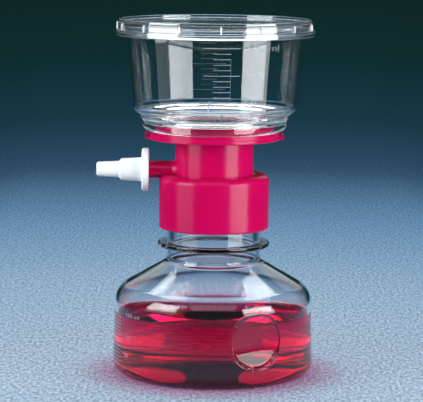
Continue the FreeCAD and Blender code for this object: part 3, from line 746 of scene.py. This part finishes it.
def base_body():
    """The turned part of the filter base: collar, stem, spout, flange and drain recess."""
    groove = COLLAR_TOP - STEM_GROOVE
    flange_radius = PLATE_RADIUS + FLANGE_MARGIN
    corners = [
        (SPOUT_BORE, SPOUT_BOTTOM, 0.3),
        (SPOUT_RADIUS, SPOUT_BOTTOM, 0.5),
        (SPOUT_RADIUS, FLANGE - FLANGE_THICKNESS, 0.8),
        (STEM_BORE, FLANGE - FLANGE_THICKNESS, 1.0),
        (STEM_BORE, SEAL_TOP, 0.3),
        (COLLAR_BORE, SEAL_TOP, 0.3),
        (COLLAR_BORE, COLLAR_BOTTOM, 0.4),
        (COLLAR_RADIUS, COLLAR_BOTTOM, 0.7),
        (COLLAR_RADIUS, COLLAR_TOP, 3.0),
        (STEM_FOOT + 1.2, COLLAR_TOP, 0.4),
        (STEM_FOOT + 0.6, groove, 0.3),
        (STEM_FOOT, groove, 0.3),
        (STEM_RADIUS, FLANGE, 0.6),
        (flange_radius, FLANGE, 0.4),
        (flange_radius, FLANGE + FLANGE_THICKNESS, 0.4),
        (PLATE_RADIUS, FLANGE + FLANGE_THICKNESS, 0.2),
        (PLATE_RADIUS, PLATE_TOP, 0.25),
        (BOSS_RADIUS, PLATE_TOP, 0.2),
        (BOSS_RADIUS, BOSS_TOP, 0.3),
        (DRAIN_RADIUS, BOSS_TOP, 0.2),
        (DRAIN_RADIUS, BOSS_TOP - DRAIN_DEPTH, 0.2),
        (SPOUT_BORE, BOSS_TOP - DRAIN_DEPTH - DRAIN_FALL, 0.4),
    ]
    outline = supported(rounded(corners), closed=True)
    return turned_mesh("base", outline, even_angles(BASE_STEPS), closed=True)


def side_arm():
    """Solid side arm with a fillet where it leaves the stem."""
    outline = rounded([
        (0, STEM_BORE + 0.5), (ARM_RADIUS + 1.2, STEM_BORE + 0.5),
        (ARM_RADIUS + 0.6, STEM_RADIUS + 0.2, 0.8), (ARM_RADIUS, STEM_RADIUS + 1.6, 1.0),
        (ARM_RADIUS, ARM_REACH, 0.3), (0, ARM_REACH),
    ])
    mesh = turned_mesh("arm", outline, even_angles(ARM_STEPS), closed=False)
    return along_arm(mesh, ARM_HEIGHT)


def arm_bore():
    """Cutter for the side arm's bore, from inside the stem to past the arm's end."""
    start, end = STEM_BORE - 2.0, ARM_REACH + 1
    outline = [Vector(p) for p in ((0, start), (ARM_BORE, start), (ARM_BORE, end), (0, end))]
    mesh = turned_mesh("bore", outline, even_angles(ARM_STEPS), closed=False)
    return along_arm(mesh, ARM_HEIGHT)


def hooks():
    """The two hooks that stand on the flange, at the right and the left."""
    outline = rounded([
        (PLATE_RADIUS - HOOK_POST, FLANGE + 0.1), (HOOK_REACH, FLANGE + 0.1, 0.4),
        (HOOK_REACH, HOOK_TOP, 0.6), (HOOK_REACH - HOOK_POST, HOOK_TOP, 0.6),
        (HOOK_REACH - HOOK_POST, HOOK_FLOOR, 0.2),
        (PLATE_RADIUS - HOOK_POST, HOOK_FLOOR),
    ])
    return [sector("hook", outline, side - HOOK_HALF_ANGLE, side + HOOK_HALF_ANGLE)
            for side in (0.0, math.pi)]


def drain_ribs():
    """The ribs that carry the membrane over the drain recess."""
    floor = BOSS_TOP - DRAIN_DEPTH
    inner, outer, top = SPOUT_BORE + DRAIN_RIB_START, DRAIN_RADIUS + 0.2, BOSS_TOP - 0.02
    corners = [
        (inner, floor - DRAIN_FALL - DRAIN_RIB_SINK), (outer, floor - DRAIN_RIB_SINK),
        (outer, top), (inner, top),
    ]
    azimuths = [k * 2 * math.pi / DRAIN_RIBS for k in range(DRAIN_RIBS)]
    return [plate(corners, DRAIN_RIB_WIDTH, azimuth) for azimuth in azimuths]


def filter_base(material):
    """Screw collar, stem, side arm, drain spout, drain plate and hooks in one moulding."""
    whole = merged(base_body(), [side_arm()] + hooks() + drain_ribs(), "UNION")
    whole = merged(whole, [arm_bore()], "DIFFERENCE")
    return new_piece("base_moulding", whole, material, "head", ["filter_base"])


def membrane(material):
    """White filter disc that lies on the drain ribs."""
    low, high = MEMBRANE_LOW.z + 0.01, MEMBRANE_HIGH.z - 0.03
    outline = rounded([(0, low), (MEMBRANE_HIGH.x, low), (MEMBRANE_HIGH.x, high, 0.05), (0, high)])
    outline = outline[:1] + [Vector((k * 2.5, low)) for k in range(1, 10)] + outline[1:]
    mesh = turned_mesh("membrane_disc", outline, even_angles(MEMBRANE_STEPS), closed=False)
    return new_piece("membrane_disc", mesh, material, "head", ["membrane"])


# ---------------------------------------------------------------- funnel, lid and adapter

def funnel(material):
    """Clear funnel: clamp edge, stepped foot, conical wall and beaded rim."""
    foot, rim = FUNNEL_LOW.z + SEAM, FUNNEL_HIGH.z
    clamp, ledge = MEMBRANE_HIGH.z, FUNNEL_FLOOR - LEDGE_DROP
    wall, top_radius = FUNNEL_WALL, WALL_TOP_RADIUS
    corners = [
        (FUNNEL_MOUTH, clamp, 0.2),
        (BOSS_RADIUS + 0.1, clamp, 0.2),
        (BOSS_RADIUS + 0.1, foot, 0.2),
        (SKIRT_RADIUS, foot, 3.5),
        (SKIRT_RADIUS, SKIRT_TOP, 0.3),
        (RING_2_RADIUS, RING_2_HEIGHT, 0.25),
        (RING_2_RADIUS - 1.1, RING_2_HEIGHT + 0.25, 0.12),
        (WALL_FOOT_RADIUS - 0.9, WALL_FOOT - 1.55, 1.5),
        (WALL_FOOT_RADIUS, WALL_FOOT, 1.3),
        (top_radius, WALL_TOP, 0.6),
        (FUNNEL_HIGH.x, rim - BEAD_HEIGHT, 0.5),
        (FUNNEL_HIGH.x, rim, 0.8),
        (top_radius - wall, rim, 0.6),
        (top_radius - wall, WALL_TOP, 2.0),
        (WALL_FOOT_RADIUS - wall, WALL_FOOT + wall / 2, 0.6),
        (WALL_FOOT_RADIUS - wall - 0.95, FUNNEL_FLOOR, 0.5),
        (LEDGE_RADIUS, FUNNEL_FLOOR, 0.4),
        (LEDGE_RADIUS, ledge, 0.5),
        (FUNNEL_MOUTH + wall, ledge - wall / 2, 0.5),
        (FUNNEL_MOUTH, clamp + wall, 0.4),
    ]
    outline = supported(rounded(corners), closed=True)
    mesh = turned_mesh("funnel_shell", outline, even_angles(CLEAR_STEPS), closed=True)
    return new_piece("funnel_shell", mesh, material, "head", ["funnel"])


def rib_azimuths():
    """Angles about Z of the lid's ribs."""
    return [RIB_AZIMUTH + k * 2 * math.pi / LID_RIBS for k in range(LID_RIBS)]


def lid_tabs(material):
    """Short upright tabs round the outside of the lid's skirt."""
    inner, foot = LID_SKIRT - 0.2, LID_BAND_TOP - 0.2
    corners = [(inner, foot), (LID_SKIRT + 0.7, foot), (LID_SKIRT + 0.7, LID_TOP - 0.9),
               (LID_SKIRT + 0.4, LID_TOP - 0.3), (inner, LID_TOP - 0.3)]
    mesh = joined_mesh([plate(corners, LID_TAB_WIDTH, azimuth) for azimuth in rib_azimuths()])
    return new_piece("lid_tabs", mesh, material, "lid")


def lid_body():
    """The turned part of the lid, with rings under its top where the ribs cut into it."""
    bottom, band = LID_LOW.z, LID_HIGH.x
    skirt_inner, band_inner, step = LID_SKIRT - LID_WALL, band - LID_WALL, LID_BAND_TOP - LID_WALL
    corners = [
        (0, LID_UNDER),
        (FUNNEL_HIGH.x / 2, LID_UNDER),
        (FUNNEL_HIGH.x - 5.5, LID_UNDER),
        (FUNNEL_HIGH.x - 5.0, LID_UNDER),
        (skirt_inner, LID_UNDER, 0.3),
        (skirt_inner, step, 0.2),
        (band_inner, step, 0.2),
        (band_inner, bottom, 0.3),
        (band, bottom, 0.35),
        (band, LID_BAND_TOP, 0.35),
        (LID_SKIRT, LID_BAND_TOP, 0.2),
        (LID_SKIRT, LID_TOP, 0.25),
        (LID_SKIRT - 0.5, LID_TOP, 0.15),
        (LID_SKIRT - 0.5, LID_TOP + STACK_HEIGHT, 0.4),
        (LID_SKIRT - 1.6, LID_TOP + STACK_HEIGHT, 0.4),
        (LID_SKIRT - 1.6, LID_TOP, 0.3),
        (0, LID_TOP),
    ]
    outline = supported(rounded(corners), closed=False)
    return turned_mesh("lid_shell", outline, even_angles(CLEAR_STEPS), closed=False)


def lid_ribs():
    """Ribs inside the lid that rest on the funnel's rim."""
    rest, top, foot = FUNNEL_HIGH.z + 0.03, LID_UNDER + 0.5, LID_BAND_TOP - 0.9
    inner, gap, outer = FUNNEL_HIGH.x - 4.5, FUNNEL_HIGH.x + 0.3, LID_SKIRT - 0.6
    corners = [(inner, rest), (gap, rest), (gap, foot), (outer, foot), (outer, top), (inner, top)]
    return [plate(corners, LID_RIB_WIDTH, azimuth) for azimuth in rib_azimuths()]


def lid(material):
    """Clear lid: flat top, stacking rim, stepped skirt and ribs that sit over the rim."""
    whole = merged(lid_body(), lid_ribs(), "UNION")
    return new_piece("lid_shell", whole, material, "lid", ["lid"])


def tubing_adapter(material):
    """White push-on adapter with a finger flange and a tapered hose spigot."""
    start, tip = -ADAPTER_HIGH.x, -ADAPTER_LOW.x
    flange_radius = ADAPTER_HIGH.y
    sleeve_end = ARM_REACH + SLEEVE_OVERHANG
    stop = ARM_REACH + STOP_GAP
    corners = [
        (ADAPTER_BORE, start, 0.3),
        (flange_radius, start, 0.6),
        (flange_radius, start + ADAPTER_FLANGE, 0.6),
        (flange_radius - ADAPTER_FLANGE_TAPER, start + SLEEVE_START, 0.5),
        (SLEEVE_RADIUS, start + SLEEVE_START, 0.5),
        (SLEEVE_END_RADIUS, sleeve_end, 0.5),
        (SPIGOT_RADIUS, sleeve_end + 1.25, 0.5),
        (SPIGOT_TIP_RADIUS, tip - 0.6, 0.5),
        (SPIGOT_TIP_RADIUS - 0.6, tip, 0.3),
        (SPIGOT_BORE, tip, 0.3),
        (SPIGOT_BORE, stop, 0.2),
        (ADAPTER_BORE, stop, 0.2),
    ]
    outline = supported(rounded(corners), closed=True)
    mesh = turned_mesh("hose_adapter", outline, even_angles(ADAPTER_STEPS), closed=True)
    along_arm(mesh, ARM_HEIGHT)
    return new_piece("hose_adapter", mesh, material, "adapter", ["tubing_adapter"])


# ---------------------------------------------------------------- graduations

def funnel_radius(z):
    """Outer radius of the funnel's wall at a height."""
    share = (z - WALL_FOOT) / (WALL_TOP - WALL_FOOT)
    return WALL_FOOT_RADIUS + (WALL_TOP_RADIUS - WALL_FOOT_RADIUS) * share


def bottle_radius(z):
    """Outer radius of the bottle's wall at a height."""
    return BOTTLE_RADIUS - WALL_TAPER * z / SHOULDER_HEIGHT


def front(azimuth):
    """Angle about Z of an azimuth in degrees that is counted from the front, to the right."""
    return math.radians(azimuth - 90)


def mark(radius_at, z, start, end, width=0.22):
    """Raised line round a wall, from one azimuth to another."""
    inner, outer = radius_at(z) - MARK_SINK, radius_at(z) + MARK_RISE
    low, high = z - width / 2, z + width / 2
    outline = rounded([(inner, low), (outer, low, 0.04), (outer, high, 0.04), (inner, high)])
    steps = max(2, math.ceil(abs(end - start) / 2))
    return sector("mark", outline, front(start), front(end), steps)


def upright(radius_at, low, high, azimuth, width):
    """Raised upright line on a wall."""
    corners = [(radius_at(low) - MARK_SINK, low), (radius_at(low) + MARK_RISE, low),
               (radius_at(high) + MARK_RISE, high), (radius_at(high) - MARK_SINK, high)]
    return plate(corners, width, front(azimuth))


def numerals(text, radius_at, z, azimuth, height):
    """Raised wide digits wrapped round a wall, starting at an azimuth, with their feet at z."""
    curve = bpy.data.curves.new("numerals", "FONT")
    curve.body = text
    curve.size = height * NUMERAL_FONT_SIZE
    curve.offset = -NUMERAL_THINNING * height
    curve.extrude = NUMERAL_RISE
    letters = bpy.data.objects.new("numerals", curve)
    bpy.context.scene.collection.objects.link(letters)
    mesh = bpy.data.meshes.new_from_object(letters)
    bpy.data.objects.remove(letters)
    for vertex in mesh.vertices:
        across, up, out = vertex.co
        across *= NUMERAL_STRETCH
        level = z + up
        radius = radius_at(level) + out
        angle = front(azimuth) + across / radius
        vertex.co = Vector((radius * math.cos(angle), radius * math.sin(angle), level)) * MILLIMETRE
    return mesh


def index_ribs():
    """The two short ribs that mark the funnel's front, on its wall and on the bowl under it."""
    low, high = RING_2_HEIGHT + 0.3, WALL_FOOT - 0.4
    inner, outer = RING_2_RADIUS - 1.0, WALL_FOOT_RADIUS - 0.2
    bowl = plate([(inner, low), (outer, high), (outer - 0.3, high + 0.3), (inner - 0.3, low + 0.3)],
                 INDEX_WIDTH, front(BOWL_INDEX_AZIMUTH))
    wall = upright(funnel_radius, WALL_FOOT, WALL_FOOT + INDEX_HEIGHT, INDEX_AZIMUTH, INDEX_WIDTH)
    return [wall, bowl]


def funnel_scale(turn):
    """Graduations of the funnel: a line each 10 mL and numerals at 50, 100 and 150 mL.

    turn is the scale's azimuth in degrees from the front.
    """
    marks = []
    for volume in range(50, 151, 10):
        z = SCALE_150 - (150 - volume) * SCALE_STEP / 10
        start, end = LONG_MARK if volume % 50 == 0 else SHORT_MARK
        marks.append(mark(funnel_radius, z, turn + start, turn + end))
    if turn == 0:
        low, high = SCALE_150 - 10 * SCALE_STEP, SCALE_150 - 2 * SCALE_STEP
        marks.append(upright(funnel_radius, low, high, SHORT_MARK[1], 0.05))
    for text, volume in (("150 ml", 150), ("100", 100), ("50", 50)):
        z = SCALE_150 - (150 - volume) * SCALE_STEP / 10 - 1.5
        marks.append(numerals(text, funnel_radius, z, turn + NUMERAL_AZIMUTH, NUMERAL_HEIGHT))
    return marks


def funnel_marks(material):
    """The funnel's two scales, front and back."""
    mesh = joined_mesh(funnel_scale(0) + funnel_scale(180) + index_ribs())
    return new_piece("funnel_marks", mesh, material, "head")


def bottle_marks(material):
    """The bottle's scale of short lines, with numerals at 50, 100 and 150 mL."""
    marks = [mark(bottle_radius, LIQUID_LEVEL - k * BOTTLE_MARK_STEP, *BOTTLE_MARK, 0.18)
             for k in range(BOTTLE_MARKS)]
    for text, z, height in (("150 ml", 29.2, 2.0), ("100", 19.4, 1.8), ("50", 11.0, 1.8)):
        marks.append(numerals(text, bottle_radius, z, BOTTLE_NUMERAL_AZIMUTH, height))
    return new_piece("bottle_marks", joined_mesh(marks), material, "receiver")


# ---------------------------------------------------------------- floor, light and camera

def calculation(tree, operation, first, second=None, third=None):
    """Socket that gives a math node's operation on values or sockets."""
    node = tree.nodes.new("ShaderNodeMath")
    node.operation = operation
    for socket, value in zip(node.inputs, (first, second, third)):
        if isinstance(value, bpy.types.NodeSocket):
            tree.links.new(value, socket)
        elif value is not None:
            socket.default_value = value
    return node.outputs["Value"]


def distance_ramp(tree, distance, colours):
    """Colour by distance in metres, from a list of distances and colours."""
    fall = tree.nodes.new("ShaderNodeValToRGB")
    stops = fall.color_ramp.elements
    for place, colour in colours[2:]:
        stops.new(place / FLOOR_RAMP)
    for stop, (place, colour) in zip(stops, colours):
        stop.position = place / FLOOR_RAMP
        stop.color = (*colour, 1.0)
    tree.links.new(calculation(tree, "DIVIDE", distance, FLOOR_RAMP), fall.inputs["Fac"])
    return fall.outputs["Color"]


def speckled(tree, colour, grain):
    """A colour made lighter and darker by a grain."""
    blend = tree.nodes.new("ShaderNodeMix")
    blend.data_type = "RGBA"
    blend.blend_type = "MULTIPLY"
    blend.inputs["Factor"].default_value = 1.0
    tree.links.new(colour, blend.inputs["A"])
    tree.links.new(grain, blend.inputs["B"])
    return blend.outputs["Result"]


def floor_distance(tree):
    """Distance from the object over the floor, which grows faster in front and far aside."""
    place = tree.nodes.new("ShaderNodeTexCoord")
    parts = tree.nodes.new("ShaderNodeSeparateXYZ")
    tree.links.new(place.outputs["Object"], parts.inputs["Vector"])
    ahead = calculation(tree, "MULTIPLY_ADD", parts.outputs["Y"],
                        -FLOOR_FALL, -FLOOR_EDGE * FLOOR_FALL)
    back = calculation(tree, "MAXIMUM", parts.outputs["Y"], ahead)
    aside = calculation(tree, "ABSOLUTE", parts.outputs["X"])
    far = calculation(tree, "MULTIPLY_ADD", aside, FLOOR_FALL, -FLOOR_SIDE * (FLOOR_FALL - 1))
    joined = tree.nodes.new("ShaderNodeCombineXYZ")
    tree.links.new(calculation(tree, "MAXIMUM", aside, far), joined.inputs["X"])
    tree.links.new(back, joined.inputs["Y"])
    lengths = []
    for vector in (place.outputs["Object"], joined.outputs["Vector"]):
        length = tree.nodes.new("ShaderNodeVectorMath")
        length.operation = "LENGTH"
        tree.links.new(vector, length.inputs[0])
        lengths.append(length.outputs["Value"])
    return calculation(tree, "MAXIMUM", *lengths)


def floor_material():
    """Speckled pale blue paper with painted light: it falls off to deep green away from the object,
    is painted pink under the bottle and glows though it is no lamp.
    """
    material, principled, tree = shader("floor_paper_painted_light")
    principled.inputs["Roughness"].default_value = 0.9
    principled.inputs["Specular IOR Level"].default_value = 0.0
    distance = floor_distance(tree)
    grain = ramp(tree, noise(tree, 700.0, 3.0, (1.0, 0.4, 1.0)), 0.64, 1.3, 0.35, 0.65)
    tree.links.new(speckled(tree, distance_ramp(tree, distance, FLOOR_COLOURS), grain),
                   principled.inputs["Base Color"])
    # painted glow: the floor lights itself for camera, glossy and transmission rays, though it is
    # no lamp
    tree.links.new(speckled(tree, distance_ramp(tree, distance, FLOOR_GLOW), grain),
                   principled.inputs["Emission Color"])
    path = tree.nodes.new("ShaderNodeLightPath")
    seen = calculation(tree, "ADD", path.outputs["Is Camera Ray"], path.outputs["Is Glossy Ray"])
    seen = calculation(tree, "ADD", seen, path.outputs["Is Transmission Ray"])
    seen = calculation(tree, "MINIMUM", seen, 1.0)
    tree.links.new(seen, principled.inputs["Emission Strength"])
    return material


def floor(material):
    """Round pale floor under the object."""
    outline = [Vector((0, 0)), Vector((FLOOR_RADIUS / MILLIMETRE, 0))]
    mesh = turned_mesh("floor", outline, even_angles(FLOOR_STEPS), closed=False)
    mesh.materials.append(material)
    surface = bpy.data.objects.new("floor", mesh)
    bpy.context.scene.collection.objects.link(surface)


def world():
    """Dim studio surroundings."""
    surroundings = bpy.data.worlds.new("studio")
    surroundings.use_nodes = True
    background = surroundings.node_tree.nodes["Background"]
    background.inputs["Color"].default_value = (*WORLD_COLOUR, 1.0)
    background.inputs["Strength"].default_value = 1.0
    bpy.context.scene.world = surroundings


def softbox(name, place, target, width, height, radiance, shape="RECTANGLE"):
    """Soft lamp at a place, turned to a target; lengths in metres.

    A rectangular lamp's radiance is its power divided by four times its area.
    """
    lamp = bpy.data.lights.new(name, "AREA")
    lamp.shape = shape
    lamp.size, lamp.size_y = width, height
    lamp.energy = radiance * 4 * width * height
    lamp.color = LAMP_COLOUR
    box = bpy.data.objects.new(name, lamp)
    box.location = place
    box.rotation_euler = (Vector(place) - Vector(target)).to_track_quat("Z", "Y").to_euler()
    box.visible_camera = False
    bpy.context.scene.collection.objects.link(box)
    return box


def side_softbox(name, azimuth, distance, width, low, high, radiance, shape="RECTANGLE"):
    """Upright softbox at an azimuth and distance from the object, between two heights."""
    angle = front(azimuth)
    middle = (low + high) / 2
    place = (math.cos(angle) * distance, math.sin(angle) * distance, middle)
    return softbox(name, place, (0, 0, middle), width, high - low, radiance, shape)


def side_lamps():
    """Softboxes at both sides: the part above LOW_TOP is brighter than the part below it.

    The low parts don't show through clear walls, so they leave views from behind alone.
    """
    for side, azimuth, top, share in (("left", LEFT_AZIMUTH, LEFT_TOP, 1.0),
                                      ("right", RIGHT_AZIMUTH, RIGHT_TOP, RIGHT_SHARE)):
        side_softbox("softbox_" + side, azimuth, SIDE_DISTANCE, SIDE_WIDTH, LOW_TOP, top,
                     HIGH_RADIANCE * share)
    for side, azimuth, radiance in (("left", LEFT_AZIMUTH, LOW_LEFT_RADIANCE),
                                    ("right", RIGHT_AZIMUTH, LOW_RIGHT_RADIANCE)):
        low = side_softbox("softbox_low_" + side, azimuth, SIDE_DISTANCE, SIDE_WIDTH,
                           LOW_BOTTOM, LOW_TOP, radiance)
        low.visible_transmission = False


def other_lamps():
    """Round lamps behind the object, and large weak ones in front of it and over it."""
    for side, azimuth in (("left", -REAR_AZIMUTH), ("right", REAR_AZIMUTH)):
        side_softbox("softbox_rear_" + side, azimuth, REAR_DISTANCE, REAR_WIDTH,
                     REAR_BOTTOM, REAR_TOP, REAR_RADIANCE, "ELLIPSE")
    softbox("softbox_front", FRONT_PLACE, LAMP_TARGET, *FRONT_SIZE, FRONT_RADIANCE)
    softbox("softbox_top", TOP_PLACE, LAMP_TARGET, *TOP_SIZE, TOP_RADIANCE)


def camera():
    """Camera a little above the object, at the photograph's distance and angle."""
    lens = bpy.data.cameras.new("camera")
    lens.lens = FOCAL_LENGTH
    lens.clip_start, lens.clip_end = 0.01, 50
    view = bpy.data.objects.new("camera", lens)
    view.location = CAMERA_PLACE
    turn = (Matrix.Rotation(math.radians(CAMERA_YAW), 4, "Z")
            @ Matrix.Rotation(math.radians(90 - CAMERA_DIP), 4, "X")
            @ Matrix.Rotation(math.radians(CAMERA_ROLL), 4, "Z"))
    view.rotation_euler = turn.to_euler()
    bpy.context.scene.collection.objects.link(view)
    bpy.context.scene.camera = view


# ---------------------------------------------------------------- the scene

receiver_bottle(clear_plastic("bottle_clear", gloss=0.6, ripple=0.01))
filtrate(red_liquid())
filter_base(moulded_plastic("magenta_plastic", (0.485, 0.0012, 0.07), (0.54, 0.002, 0.086),
                            rough=0.2, gloss=0.2, grain=0.1))
membrane(fibrous("membrane_white", (0.86, 0.86, 0.85), (0.93, 0.93, 0.92),
                 scale=800.0, depth=0.00004))
funnel(clear_plastic("funnel_clear", gloss=0.5, ripple=0.02))
lid(clear_plastic("lid_clear", gloss=1.0, ripple=0.04, haze=(0.05, 0.12)))
tubing_adapter(moulded_plastic("white_plastic", (0.79, 0.81, 0.82), (0.84, 0.86, 0.87),
                               rough=0.4, gloss=0.25, grain=0.12))
ink = frosted("frosted_marks", (0.50, 0.54, 0.60), (0.62, 0.66, 0.72), clear=0.4)
lid_tabs(frosted("frosted_tabs", (0.86, 0.88, 0.9), (0.94, 0.95, 0.96), clear=0.1))
funnel_marks(ink)
bottle_marks(ink)

cotton = fibrous("cotton_white", (0.78, 0.76, 0.72), (0.9, 0.89, 0.86), scale=1500.0, depth=0.0002)
for node, material in (("cotton_plug", cotton), ("neck_seal", soft_rubber())):
    frame["nodes"][node].data.materials.clear()
    frame["nodes"][node].data.materials.append(material)

floor(floor_material())
world()
side_lamps()
other_lamps()
camera()

bpy.context.scene.view_settings.view_transform = "Standard"
bpy.context.scene.cycles.max_bounces = 32
bpy.context.scene.cycles.transmission_bounces = 32
bpy.context.scene.cycles.glossy_bounces = 16
